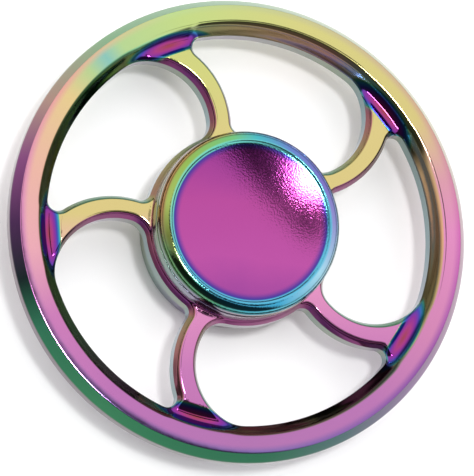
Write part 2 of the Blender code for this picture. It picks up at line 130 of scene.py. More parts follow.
def meet(centre_a, radius_a, centre_b, radius_b, near):
    """Where two circles cross, at the crossing nearer to a point."""
    apart = centre_b - centre_a
    distance = np.hypot(*apart)
    along = (radius_a**2 - radius_b**2 + distance**2) / (2 * distance)
    across = sqrt(radius_a**2 - along**2)
    unit = apart / distance
    side = np.array((-unit[1], unit[0]))
    found = [centre_a + unit * along + side * across * sign for sign in (1, -1)]
    return min(found, key=lambda point: np.hypot(*(point - near)))


def window_arcs():
    """The first window's outline, anticlockwise: (centre, radius, side, start, sweep) arcs.

    side is 1 where the casting lies outside the arc and -1 where it lies inside."""
    hub = np.zeros(2)
    belly = polar(*BELLY)
    belly_radius = BELLY_RIM - BELLY[0]
    spoke = polar(*NEXT_SPOKE[:2])
    spoke_radius = NEXT_SPOKE[2]

    def corner(from_hub, other, from_other, near):
        return meet(hub, from_hub, other, from_other, polar(*near))

    rim_corner = corner(RIM_FLAT - RIM_CORNER, spoke, spoke_radius + RIM_CORNER, (26, 95))
    next_corner = corner(HUB_FLAT + NEXT_CORNER, spoke, spoke_radius + NEXT_CORNER, (12, 90))
    belly_corner = corner(HUB_FLAT + BELLY_CORNER, belly, belly_radius - BELLY_CORNER, (12, 40))
    rim_belly = corner(RIM_FLAT - BELLY_RIM_CORNER, belly, belly_radius - BELLY_RIM_CORNER, (26, 45))

    def angle(vector):
        return np.arctan2(vector[1], vector[0])

    def arc(centre, radius, side, first, last):
        sweep = (last - first) * side % tau * side
        return centre, radius, side, first, sweep

    to_rim = angle(rim_corner)
    to_next = angle(spoke - rim_corner)
    at_next = angle(spoke - next_corner)
    at_hub = angle(next_corner)
    at_belly_hub = angle(belly_corner)
    at_belly = angle(belly_corner - belly)
    from_belly = angle(rim_belly - belly)
    from_rim = angle(rim_belly)
    return [
        arc(hub, RIM_FLAT, 1, from_rim, to_rim),
        arc(rim_corner, RIM_CORNER, 1, to_rim, to_next),
        arc(spoke, spoke_radius, -1, to_next + pi, at_next + pi),
        arc(next_corner, NEXT_CORNER, 1, at_next, at_hub + pi),
        arc(hub, HUB_FLAT, -1, at_hub, at_belly_hub),
        arc(belly_corner, BELLY_CORNER, 1, at_belly_hub + pi, at_belly),
        arc(belly, belly_radius, 1, at_belly, from_belly),
        arc(rim_belly, BELLY_RIM_CORNER, 1, from_belly, from_rim),
    ]


ARCS = window_arcs()


def window_rows(depths):
    """Contours of the first window, this deep into the casting from its band: (row, point, xy)."""
    rows = [[] for _ in depths]
    for centre, radius, side, first, sweep in ARCS:
        count = max(4, int(abs(sweep) * max(radius, 2.2) / OUTLINE_SPACING))
        for step in range(count):
            angle = first + sweep * step / count
            unit = np.array((cos(angle), sin(angle)))
            for row, depth in zip(rows, depths):
                row.append(centre + unit * (radius - side * (SLOPE - depth)))
    return np.array(rows)


def turned_points(points, degrees):
    c, s = cos(radians(degrees)), sin(radians(degrees))
    return points @ np.array(((c, s), (-s, c)))


def depth_inside(points):
    """How far inside the casting's outline each point lies; negative in a window."""
    best = np.full(len(points), FAR)
    for index in range(SPOKES):
        local = turned_points(points, -SPOKE_TURN * index)
        nearest = np.full(len(points), FAR)
        for centre, radius, side, first, sweep in ARCS:
            offset = local - centre
            distance = np.hypot(offset[:, 0], offset[:, 1])
            turn = (np.arctan2(offset[:, 1], offset[:, 0]) - first) * side % tau
            gap = (distance - (radius - side * SLOPE)) * side
            closer = (turn <= abs(sweep) + 1e-6) & (np.abs(gap) < np.abs(nearest))
            nearest = np.where(closer, gap, nearest)
        best = np.where(np.abs(nearest) < np.abs(best), nearest, best)
    return best


def smooth_min(a, b, k):
    h = np.maximum(k - np.abs(a - b), 0.0) / k
    return np.minimum(a, b) - h * h * k / 4


def smooth_max(a, b, k):
    return -smooth_min(-a, -b, k)


def step_between(x, low, high):
    t = np.clip((x - low) / (high - low), 0.0, 1.0)
    return t * t * (3 - 2 * t)


def height(points):
    """Height of the casting's upper half above the mid-plane."""
    radius = np.hypot(points[:, 0], points[:, 1])
    depth = depth_inside(points)
    rise = SPOKE_RISE - (SPOKE_RISE - RIM_RISE) * step_between(radius, *RISE_CHANGE)
    wall = BAND + depth * rise

    # A faintly crowned spoke, dipped by a groove that is turned all round just inside the rim.
    plane = SPOKE_TOP + CROWN * np.clip(depth - CROWN_START, 0.0, 1.0)
    from_ring = radius - GROOVE_RING
    groove = GROOVE_CENTRE - np.sqrt(np.clip(GROOVE_RADIUS**2 - from_ring**2, 0.0, None))
    groove = np.where(np.abs(from_ring) < GROOVE_RADIUS, groove, FAR)
    spoke = smooth_min(plane, groove, GROOVE_BLEND)

    # The rim, with a slightly rounded face.
    rim_wall = BAND + (radius - RIM_INNER) * RIM_RISE
    top = smooth_max(spoke, rim_wall, RIM_WALL_BLEND)
    from_crest = np.maximum(radius, RIM_FACE_INNER) - RIM_CREST
    rim_face = RIM_TOP - RIM_DROP * (from_crest / RIM_DROP_REACH) ** 2
    top = smooth_min(top, rim_face, RIM_FACE_BLEND)

    # The fillet at the foot of the collar.
    out = np.clip(radius - COLLAR, 0.0, FILLET)
    foot = SPOKE_TOP + FILLET - np.sqrt(np.clip(FILLET**2 - (FILLET - out) ** 2, 0.0, None))
    top = np.where(radius < COLLAR + FILLET, np.maximum(foot, top), top)
    return smooth_min(wall, top, EDGE_BLEND)


def gradient_of(function, points):
    """A function's slope along x and y at each point, from central differences."""
    slopes = []
    for axis in range(2):
        shift = np.zeros(2)
        shift[axis] = TINY
        slopes.append((function(points + shift) - function(points - shift)) / (2 * TINY))
    return np.column_stack(slopes)


def height_normals(points):
    """Unit normals of the upper half's surface."""
    radius = np.hypot(points[:, 0], points[:, 1])
    outside_collar = np.where(radius < COLLAR + 0.02, (COLLAR + 0.02) / radius, 1.0)
    at = points * outside_collar[:, None]
    gradient = gradient_of(height, at)
    edge = depth_inside(points) < 2 * TINY
    # At the outline the slope is read a little inside it.
    inward = gradient_of(depth_inside, at[edge])
    inward /= np.hypot(inward[:, 0], inward[:, 1])[:, None]
    gradient[edge] = gradient_of(height, at[edge] + inward * 3 * TINY)
    normal = np.column_stack((-gradient, np.ones(len(points))))
    return normal / np.linalg.norm(normal, axis=1)[:, None]


def ring(radius, count):
    angle = np.arange(count) * tau / count
    return np.column_stack((radius * np.cos(angle), radius * np.sin(angle)))


class Surface:
    """Points, faces and a normal for each face corner, collected piece by piece."""

    def __init__(self):
        self.points = []
        self.faces = []
        self.normals = []
        self.count = 0

    def add(self, points, faces, normals):
        self.points.append(points)
        self.faces.append(np.asarray(faces) + self.count)
        self.normals.append(np.asarray(normals))
        self.count += len(points)

    def add_mirrored(self, points, faces, normals):
        self.add(points, faces, normals)
        self.add(points * FLIP, faces[:, ::-1], normals[:, ::-1] * FLIP)

    def mesh(self, name):
        """One Blender mesh, with points that fall together joined and flat faces dropped."""
        points = np.concatenate(self.points)
        faces = np.concatenate(self.faces)
        normals = np.concatenate(self.normals)
        keys = np.round(points, 4)
        _, first, inverse = np.unique(keys, axis=0, return_index=True, return_inverse=True)
        faces = inverse.reshape(-1)[faces]
        points = points[first]
        good = (faces != np.roll(faces, 1, axis=1)).all(axis=1)
        faces, normals = faces[good], normals[good]
        mesh = bpy.data.meshes.new(name)
        mesh.from_pydata((points * MM).tolist(), [], faces.tolist())
        mesh.validate()
        mesh.shade_smooth()
        mesh.normals_split_custom_set(normals.reshape(-1, 3).tolist())
        return mesh


def triangles(quads):
    """Each row (a, b, c, d) of corner numbers as two triangles."""
    quads = np.asarray(quads)
    return np.concatenate((quads[:, [0, 1, 2]], quads[:, [0, 2, 3]]))


def lathe(profile, normals, count, tops=None):
    """Turns a (radius, height) outline with (out, up) normals; faces look right of its run.

    tops replaces the first row's heights, and the rows after it close up evenly."""
    profile = np.asarray(profile, float)
    angle = np.arange(count) * tau / count
    circle = np.column_stack((np.cos(angle), np.sin(angle)))
    rows = []
    for radius, z in profile:
        rows.append(np.column_stack((circle * radius, np.full(count, z))))
    if tops is not None:
        span = profile[:, 1] - profile[0, 1]
        share = span / span[-1]
        for row, part in zip(rows, share):
            row[:, 2] = tops + (profile[-1, 1] - tops) * part
    points = np.concatenate(rows)
    faces, corner_normals = [], []
    here = np.arange(count)
    after = (here + 1) % count
    for row in range(len(profile) - 1):
        a, b = row * count + here, row * count + after
        c, d = (row + 1) * count + after, (row + 1) * count + here
        quads = np.column_stack((a, b, c, d))
        faces.append(triangles(quads))
        low, high = normals[row]
        n_low = np.column_stack((circle * low[0], np.full(count, low[1])))
        n_high = np.column_stack((circle * high[0], np.full(count, high[1])))
        corners = (n_low[here], n_low[after], n_high[after], n_high[here])
        corner_normals.append(np.stack((corners[0], corners[1], corners[2]), 1))
        corner_normals.append(np.stack((corners[0], corners[2], corners[3]), 1))
    return points, np.concatenate(faces), np.concatenate(corner_normals)


def profile_of(corners, steps=5, crease=35.0):
    """A fine outline of (radius, height, rounding) corners, and a pair of normals a stretch.

    The solid lies on the outline's right, so the normals look left."""
    points = []
    for index, (x, z, rounding) in enumerate(corners):
        here = np.array((x, z))
        if not rounding:
            points.append(here)
            continue
        before = np.array(corners[index - 1][:2]) - here
        after = np.array(corners[index + 1][:2]) - here
        before /= np.hypot(*before)
        after /= np.hypot(*after)
        half = np.arccos(np.clip(before @ after, -1, 1)) / 2
        bisector = (before + after) / np.hypot(*(before + after))
        centre = here + bisector * rounding / sin(half)
        first = here + before * rounding / np.tan(half) - centre
        last = here + after * rounding / np.tan(half) - centre
        turn = np.arctan2(first[0] * last[1] - first[1] * last[0], first @ last)
        for step in range(steps + 1):
            c, s = cos(turn * step / steps), sin(turn * step / steps)
            points.append(centre + np.array((first[0] * c - first[1] * s, first[0] * s + first[1] * c)))
    points = np.array(points)
    apart = np.hypot(*np.diff(points, axis=0).T) > 1e-6
    points = points[np.concatenate(([True], apart))]
    along = np.diff(points, axis=0)
    flat = np.column_stack((-along[:, 1], along[:, 0]))
    flat = flat / np.hypot(flat[:, 0], flat[:, 1])[:, None]
    normals = []
    for row in range(len(flat)):
        pair = []
        for other in (row - 1, row + 1):
            neighbour = flat[other] if 0 <= other < len(flat) else flat[row]
            close = neighbour @ flat[row] > cos(radians(crease))
            mixed = flat[row] + neighbour if close else flat[row]
            pair.append(mixed / np.hypot(*mixed))
        normals.append(pair)
    return points, normals


def turned_shell(corners, count, steps=5):
    """A lathe surface whose faces look the way of its outline's normals."""
    points, faces, normals = lathe(*profile_of(corners, steps), count)
    return points, faces[:, ::-1], normals[:, ::-1]


def casting_plan():
    """Triangulates the casting between collar and rim: points, faces and the window contours."""
    depths = (0.0, 0.09, 0.18, 0.25, 0.31, 0.36, 0.41, 0.46)
    depths += (0.51, 0.57, 0.64, 0.72, 0.82, 0.94, 1.08, 1.24)
    contours = window_rows(depths)
    points, edges = [], []

    def add(new, closed):
        start = sum(len(p) for p in points)
        points.append(new)
        if closed:
            count = len(new)
            edges.extend((start + i, start + (i + 1) % count) for i in range(count))

    add(ring(COLLAR, HUB_COUNT), True)
    add(ring(JOIN_RADIUS, RIM_COUNT), True)
    for index in range(SPOKES):
        for row, contour in enumerate(contours):
            contour = turned_points(contour, SPOKE_TURN * index)
            if row:
                radius = np.hypot(contour[:, 0], contour[:, 1])
                contour = contour[(radius > COLLAR + 0.06) & (radius < JOIN_RADIUS - 0.06)]
            add(contour, row == 0)
    radii = [COLLAR + FILLET * (1 - cos(pi / 2 * t / 9)) for t in range(2, 10)]
    radii += list(np.arange(13.1, 23.2, 0.45)) + list(np.arange(23.3, 26.75, 0.11)) + [26.95]
    for radius in radii:
        spacing = 0.3 if radius < 13 or radius > 23.2 else 0.45
        circle = ring(radius, int(tau * radius / spacing / SPOKES) * SPOKES)
        add(circle[depth_inside(circle) > depths[-1] + 0.1], False)
    flat = np.concatenate(points)
    given = [Vector(p) for p in flat.tolist()]
    verts, _, faces, sources, _, _ = delaunay_2d_cdt(given, edges, [], 0, 1e-5)
    verts = np.array([tuple(v) for v in verts])
    # The triangulation works in single precision, so the given points are put back as they were.
    for index, source in enumerate(sources):
        if source:
            verts[index] = flat[source[0]]
    faces = np.array(faces)
    lip_middle_and_reflections = verts[faces].mean(axis=1)
    radius = np.hypot(lip_middle_and_reflections[:, 0], lip_middle_and_reflections[:, 1])
    within = (radius > COLLAR * 0.9999) & (radius < JOIN_RADIUS)
    return verts, faces[within & (depth_inside(lip_middle_and_reflections) > 0.0)], contours


def wheel_mesh():
    verts, faces, contours = casting_plan()
    z = height(verts)
    z[np.abs(depth_inside(verts)) < 1e-4] = BAND

    # Points on the collar and on the join are set to those rings' own points and heights.
    join_z = float(height(np.array([[JOIN_RADIUS, 0.0]]))[0])
    foot = height(ring(COLLAR * 0.99999, HUB_COUNT))
    join = np.full(RIM_COUNT, join_z)
    for radius, count, level in ((COLLAR, HUB_COUNT, foot), (JOIN_RADIUS, RIM_COUNT, join)):
        on = np.abs(np.hypot(verts[:, 0], verts[:, 1]) - radius) < 1e-3
        place = np.rint(np.arctan2(verts[on, 1], verts[on, 0]) * count / tau).astype(int) % count
        verts[on] = ring(radius, count)[place]
        z[on] = level[place]
    normals = height_normals(verts)
    first = verts[faces[:, 0]]
    to_second = verts[faces[:, 1]] - first
    to_third = verts[faces[:, 2]] - first
    area = to_second[:, 0] * to_third[:, 1] - to_second[:, 1] * to_third[:, 0]
    faces[area < 0] = faces[area < 0][:, ::-1]
    faces = faces[np.abs(area) > 1e-9]
    surface = Surface()
    surface.add_mirrored(np.column_stack((verts, z)), faces, normals[faces])

    # Upright band round each window.
    for index in range(SPOKES):
        loop = turned_points(contours[0], SPOKE_TURN * index)
        count = len(loop)
        along = np.roll(loop, -1, axis=0) - np.roll(loop, 1, axis=0)
        inward = np.column_stack((-along[:, 1], along[:, 0], np.zeros(count)))
        inward /= np.linalg.norm(inward, axis=1)[:, None]
        here = np.arange(count)
        after = (here + 1) % count
        strip = triangles(np.column_stack((here, after, after + count, here + count)))
        levels = [np.column_stack((loop, np.full(count, level))) for level in (BAND, -BAND)]
        surface.add(np.concatenate(levels), strip, np.concatenate((inward, inward))[strip])

    # Rim from the join outwards.
    rim = [(JOIN_RADIUS, join_z, 0), (27.9, 2.4992, 0), (28.5, 2.4867, 0), (28.83, 2.4756, 0)]
    rim += [(28.98, 2.468, 0.14), (RIM_OUTER, BAND, 0.9), (RIM_OUTER, 0.0, 0)]
    surface.add_mirrored(*turned_shell(rim, RIM_COUNT, 6))

    # Collar: side, top and the bearing seat.
    side = [(COLLAR, level) for level in (SPOKE_TOP, 2.5, 3.0, 3.4, COLLAR_SIDE_TOP)]
    outwards = [[(1.0, 0.0), (1.0, 0.0)]] * (len(side) - 1)
    surface.add_mirrored(*lathe(side, outwards, HUB_COUNT, tops=foot))
    seat_top = COLLAR_TOP - SEAT_CHAMFER
    upper = [(SEAT_LIP, SEAT_FLOOR, 0), (SEAT_RADIUS, SEAT_FLOOR, 0), (SEAT_RADIUS, seat_top, 0)]
    upper += [(SEAT_RADIUS + SEAT_CHAMFER, COLLAR_TOP, 0)]
    upper += [(COLLAR, COLLAR_TOP, COLLAR_ROUND), (COLLAR, COLLAR_SIDE_TOP, 0)]
    surface.add(*turned_shell(upper, HUB_COUNT))
    lower = [(COLLAR, -COLLAR_SIDE_TOP, 0), (COLLAR, -COLLAR_TOP, COLLAR_ROUND)]
    lower += [(SEAT_LIP, -COLLAR_TOP, 0), (SEAT_LIP, SEAT_FLOOR, 0)]
    surface.add(*turned_shell(lower, HUB_COUNT))
    return surface.mesh("wheel_casting")


def cap_mesh(sign):
    """A finger cap: satin dish, polished lip, and the boss and stem that hold it in the bearing."""
    corners = []
    for step in range(24):
        share = step / 24
        corners.append((DISH_RADIUS * share, DISH_LOW + DISH_RISE * share**2, 0))
    corners += [(10.2, 5.75, 0), (10.42, CAP_TOP, 0.2), (CAP_RADIUS, CAP_TOP, CAP_ROUND)]
    corners += [(CAP_RADIUS, CAP_UNDER, 0.04), (BOSS_RADIUS, CAP_UNDER, 0)]
    corners += [(BOSS_RADIUS, BOSS_END, 0), (STEM_RADIUS, BOSS_END, 0.2)]
    corners += [(STEM_RADIUS, STEM_END, 0.2), (BORE_RADIUS, STEM_END, 0)]
    corners += [(BORE_RADIUS, BORE_END, 0), (0.0, BORE_END, 0)]
    points, faces, normals = turned_shell(corners, HUB_COUNT, 9)
    if sign < 0:
        points, faces, normals = points * FLIP, faces[:, ::-1], normals[:, ::-1] * FLIP
    surface = Surface()
    surface.add(points, faces, normals)
    return surface.mesh("cap_shell")


# Brightness of the studio. Colours are given as they look under it.
STUDIO = 1.9


def srgb(*channels, light=STUDIO):
    """A colour of 0 to 255 a channel, as it looks under this light, as a linear colour."""
    linear = [((c / 255 + 0.055) / 1.055) ** 2.4 for c in channels]
    return (*(value / light for value in linear), 1.0)


class Nodes:
    """A node tree, with one short call for each kind of node."""

    def __init__(self, owner):
        owner.use_nodes = True
        self.tree = owner.node_tree

    def node(self, kind, **settings):
        made = self.tree.nodes.new(kind)
        for key, value in settings.items():
            setattr(made, key, value)
        return made

    def plug(self, value, socket):
        if isinstance(value, bpy.types.NodeSocket):
            self.tree.links.new(value, socket)
        else:
            socket.default_value = value

    def math(self, operation, a, b=0.0, clamp=False):
        made = self.node("ShaderNodeMath", operation=operation, use_clamp=clamp)
        self.plug(a, made.inputs[0])
        self.plug(b, made.inputs[1])
        return made.outputs[0]

    def between(self, value, low, high):
        """0 at low, 1 at high, smooth between."""
        made = self.node("ShaderNodeMapRange", interpolation_type="SMOOTHSTEP")
        self.plug(value, made.inputs["Value"])
        made.inputs["From Min"].default_value = low
        made.inputs["From Max"].default_value = high
        return made.outputs["Result"]

    def total(self, *values):
        first, *others = values
        for value in others:
            first = self.math("ADD", first, value)
        return first

    def product(self, *values):
        first, *others = values
        for value in others:
            first = self.math("MULTIPLY", first, value)
        return first

    def mix(self, share, a, b):
        made = self.node("ShaderNodeMix", data_type="RGBA")
        self.plug(share, made.inputs[0])
        self.plug(a, made.inputs[6])
        self.plug(b, made.inputs[7])
        return made.outputs[2]

    def linear_ramp(self, value, stops):
        made = self.node("ShaderNodeValToRGB")
        elements = made.color_ramp.elements
        while len(elements) < len(stops):
            elements.new(0.5)
        for element, (place, colour) in zip(elements, stops):
            element.position = place
            element.color = colour
        self.plug(value, made.inputs[0])
        return made.outputs[0]


class Look(Nodes):
    """A material, with its shader and the places that its colours go by."""

    def __init__(self, name):
        self.material = bpy.data.materials.new(name)
        super().__init__(self.material)
        self.shader = self.tree.nodes["Principled BSDF"]

    def ramp(self, value, stops, light=STUDIO):
        return self.linear_ramp(value, [(at, srgb(*colour, light=light)) for at, colour in stops])

    def noise(self, where, scale, detail=2.0):
        made = self.node("ShaderNodeTexNoise")
        made.inputs["Scale"].default_value = scale
        made.inputs["Detail"].default_value = detail
        self.plug(where, made.inputs["Vector"])
        return made.outputs[0]

    def metal(self, colour, roughness):
        self.plug(colour, self.shader.inputs["Base Color"])
        self.shader.inputs["Metallic"].default_value = 1.0
        self.plug(roughness, self.shader.inputs["Roughness"])

    def bump(self, value, strength, distance):
        made = self.node("ShaderNodeBump")
        made.inputs["Strength"].default_value = strength
        made.inputs["Distance"].default_value = distance
        self.plug(value, made.inputs["Height"])
        self.plug(made.outputs[0], self.shader.inputs["Normal"])

    def place(self):
        """The position; x, y, z and radius in mm; the angle in turns; and the normal's parts."""
        coords = self.node("ShaderNodeTexCoord")
        split = self.node("ShaderNodeSeparateXYZ")
        self.plug(coords.outputs["Object"], split.inputs[0])
        x, y, z = (self.math("MULTIPLY", split.outputs[i], 1.0 / MM) for i in range(3))
        radius = self.math("SQRT", self.total(self.product(x, x), self.product(y, y)))
        angle = self.turns(y, x)
        facing = self.node("ShaderNodeSeparateXYZ")
        self.plug(coords.outputs["Normal"], facing.inputs[0])
        return coords.outputs["Object"], x, y, z, radius, angle, facing.outputs

    def turns(self, y, x):
        """A direction's angle as a share of a turn, 0 to 1."""
        share = self.math("DIVIDE", self.math("ARCTAN2", y, x), tau)
        return self.math("FRACT", self.math("ADD", share, 1.0))

    def wander(self, where, scale, detail, amount):
        """A soft random shift of up to half this amount either way."""
        return self.product(self.math("SUBTRACT", self.noise(where, scale, detail), 0.5), amount)


# A dimple's place: degrees after its window's start, degrees to each end, and mm from the axis.
DIMPLE_AT = 39.0
DIMPLE_REACH = 14.5
DIMPLE_RADIUS = 25.15
DIMPLE_HALF_WIDTH = 1.4

# Colours round an upright wall of the hub, as (share of a turn, colour) like every ramp by angle.
COLLAR_TINT = [
    (0.0, (196, 200, 200)),
    (0.38, (196, 184, 184)),
    (0.5, (170, 184, 146)),
    (0.58, (152, 186, 176)),
    (0.66, (170, 152, 196)),
    (0.78, (190, 172, 172)),
    (1.0, (196, 200, 200)),
]


def plated_material():
    """The casting's plating: bands of colour by place on its faces and by direction on its walls, with
    painted shade in the dimples and painted reflections and highlights on the walls.
    """
    g = Look("iridescent_plating")
    where, x, y, z, radius, angle, facing = g.place()
    up = facing[2]
    wander = g.wander(where, 70.0, 2.0, 0.25)
    along = g.math("DIVIDE", g.math("SUBTRACT", y, g.product(x, 0.12)), 2 * RIM_OUTER)
    along = g.total(along, 0.5, g.product(wander, 0.25))
    face = g.ramp(
        along,
        [
            (0.0, (190, 116, 178)),
            (0.2, (202, 126, 186)),
            (0.36, (230, 150, 196)),
            (0.48, (238, 184, 178)),
            (0.56, (222, 204, 136)),
            (0.68, (224, 206, 138)),
            (0.84, (214, 214, 132)),
            (1.0, (206, 216, 134)),
        ],
    )
    rim_face = g.ramp(
        angle,
        [
            (0.0, (229, 146, 196)),
            (0.04, (223, 161, 176)),
            (0.09, (220, 204, 134)),
            (0.2, (219, 213, 136)),
            (0.29, (200, 220, 138)),
            (0.345, (186, 216, 151)),
            (0.36, (140, 200, 190)),
            (0.375, (186, 212, 150)),
            (0.4, (232, 206, 146)),
            (0.46, (238, 186, 168)),
            (0.52, (236, 172, 184)),
            (0.57, (206, 128, 186)),
            (0.64, (192, 120, 184)),
            (0.75, (182, 120, 180)),
            (0.85, (190, 122, 183)),
            (0.92, (214, 138, 184)),
            (1.0, (229, 146, 196)),
        ],
    )
    edge_tint = g.ramp(
        angle,
        [
            (0.0, (214, 116, 186)),
            (0.09, (214, 176, 150)),
            (0.3, (196, 222, 150)),
            (0.4, (236, 170, 160)),
            (0.5, (222, 140, 196)),
            (0.62, (150, 118, 186)),
            (0.76, (132, 112, 178)),
            (0.9, (150, 90, 168)),
            (1.0, (214, 116, 186)),
        ],
    )
    rim_face = g.mix(g.between(radius, 27.9, 29.0), rim_face, edge_tint)
    top = g.mix(g.between(radius, 25.9, 26.3), face, rim_face)

    # Each spoke ends in a dimple at the rim. Its colours paint shade into the recess, darker than the
    # plating round it, in bands from plum at the middle to blue and green at its edge.
    turn = g.product(angle, float(SPOKES))
    turn = g.math("FRACT", g.math("ADD", turn, 1.5 - DIMPLE_AT / SPOKE_TURN))
    across = g.product(g.math("SUBTRACT", turn, 0.5), SPOKE_TURN / DIMPLE_REACH)
    inout = g.math("DIVIDE", g.math("SUBTRACT", radius, DIMPLE_RADIUS), DIMPLE_HALF_WIDTH)
    spread = g.math("SQRT", g.total(g.product(across, across), g.product(inout, inout)))
    spread = g.math("ADD", spread, g.product(wander, 0.5))
    dimple_tint_and_shade = g.ramp(
        spread,
        [
            (0.0, (132, 58, 66)),
            (0.3, (140, 52, 110)),
            (0.52, (112, 44, 130)),
            (0.68, (60, 62, 150)),
            (0.82, (50, 120, 160)),
            (0.93, (80, 160, 120)),
            (1.0, (200, 200, 130)),
        ],
        light=1.2,
    )

    # Outer wall of the rim: coating colours with a painted dark reflection on the stretch from about
    # 165 to 205 degrees.
    outer_tint_and_painted_reflections = g.ramp(
        angle,
        [
            (0.0, (196, 150, 170)),
            (0.08, (206, 200, 160)),
            (0.25, (176, 210, 176)),
            (0.35, (150, 196, 150)),
            (0.41, (196, 158, 145)),
            (0.455, (150, 84, 140)),
            (0.5, (84, 50, 92)),
            (0.54, (28, 44, 44)),
            (0.575, (60, 130, 98)),
            (0.64, (72, 146, 104)),
            (0.76, (56, 128, 94)),
            (0.82, (90, 124, 126)),
            (0.88, (154, 124, 166)),
            (1.0, (196, 150, 170)),
        ],
    )
    # Inner wall of the rim: coating colours with painted reflections, a lighter tan for the lit floor
    # round 60 to 80 degrees and dark olive round 135 to 200 degrees.
    inner_tint_and_painted_reflections = g.ramp(
        angle,
        [
            (0.0, (128, 96, 72)),
            (0.06, (110, 92, 66)),
            (0.1, (60, 96, 66)),
            (0.13, (96, 150, 140)),
            (0.17, (172, 128, 112)),
            (0.22, (168, 140, 104)),
            (0.27, (130, 130, 90)),
            (0.33, (88, 130, 100)),
            (0.38, (50, 84, 56)),
            (0.45, (58, 66, 44)),
            (0.55, (70, 84, 50)),
            (0.65, (70, 60, 50)),
            (0.75, (96, 78, 60)),
            (0.88, (60, 66, 56)),
            (0.95, (104, 92, 60)),
            (1.0, (128, 96, 72)),
        ],
        light=0.5,
    )
    way = g.turns(facing[1], facing[0])
    # Slopes coloured by the way they face: coating colours with painted reflections, dark plum on
    # slopes that face about 200 to 235 degrees.
    slope_tint_and_reflections = g.ramp(
        way,
        [
            (0.0, (160, 110, 130)),
            (0.1, (96, 160, 140)),
            (0.3, (110, 170, 130)),
            (0.38, (196, 188, 120)),
            (0.47, (200, 132, 130)),
            (0.56, (150, 78, 118)),
            (0.64, (132, 66, 134)),
            (0.72, (176, 90, 150)),
            (0.82, (190, 116, 160)),
            (0.92, (132, 108, 80)),
            (1.0, (160, 110, 130)),
        ],
    )
    # A painted cyan highlight on the spokes' slopes from about 24 mm out, where they run into the
    # dimples.
    slope_tint_and_reflections = g.mix(g.between(radius, 23.4, 24.4), slope_tint_and_reflections, srgb(96, 186, 196))
    slope = g.mix(g.between(radius, 25.0, 25.5), slope_tint_and_reflections, inner_tint_and_painted_reflections)
    slope = g.mix(g.between(radius, 28.2, 28.9), slope, outer_tint_and_painted_reflections)
    band = g.ramp(
        g.math("FRACT", g.math("ADD", g.product(way, 2.0), wander)),
        [
            (0.0, (150, 186, 196)),
            (0.3, (168, 186, 160)),
            (0.6, (186, 166, 200)),
            (1.0, (150, 186, 196)),
        ],
    )
    # Band round the rim's outside: a pale tint, with a painted reflection of the floor's shadow as
    # darker brownish grey round 180 to 250 degrees.
    outer_band_and_reflected_shadow = g.ramp(
        angle,
        [
            (0.0, (190, 180, 170)),
            (0.3, (180, 200, 180)),
            (0.5, (140, 110, 130)),
            (0.7, (128, 118, 122)),
            (1.0, (190, 180, 170)),
        ],
    )
    band = g.mix(g.between(radius, 29.5, 29.8), band, outer_band_and_reflected_shadow)
    collar_tint = g.ramp(angle, COLLAR_TINT)

    # Band, slope and face take over from each other as the surface turns up or down.
    colour = g.mix(g.between(up, 0.04, 0.3), band, slope)
    colour = g.mix(g.between(up, 0.74, 0.93), colour, top)
    colour = g.mix(g.between(up, -0.04, -0.3), colour, slope)
    colour = g.mix(g.between(up, -0.74, -0.93), colour, top)
    level = g.math("ABSOLUTE", z)
    # The dimples take their painted shade here.
    in_dimple = g.product(g.between(spread, 1.02, 0.9), g.between(level, 1.0, 1.15))
    colour = g.mix(in_dimple, colour, dimple_tint_and_shade)
    on_collar = g.product(g.between(radius, 12.25, 12.15), g.between(level, 2.3, 2.5))
    colour = g.mix(on_collar, colour, collar_tint)
    g.metal(colour, g.math("ADD", 0.06, g.product(g.noise(where, 900.0, 3.0), 0.05)))
    g.bump(g.noise(where, 260.0), 0.03, 0.0004)
    return g.material


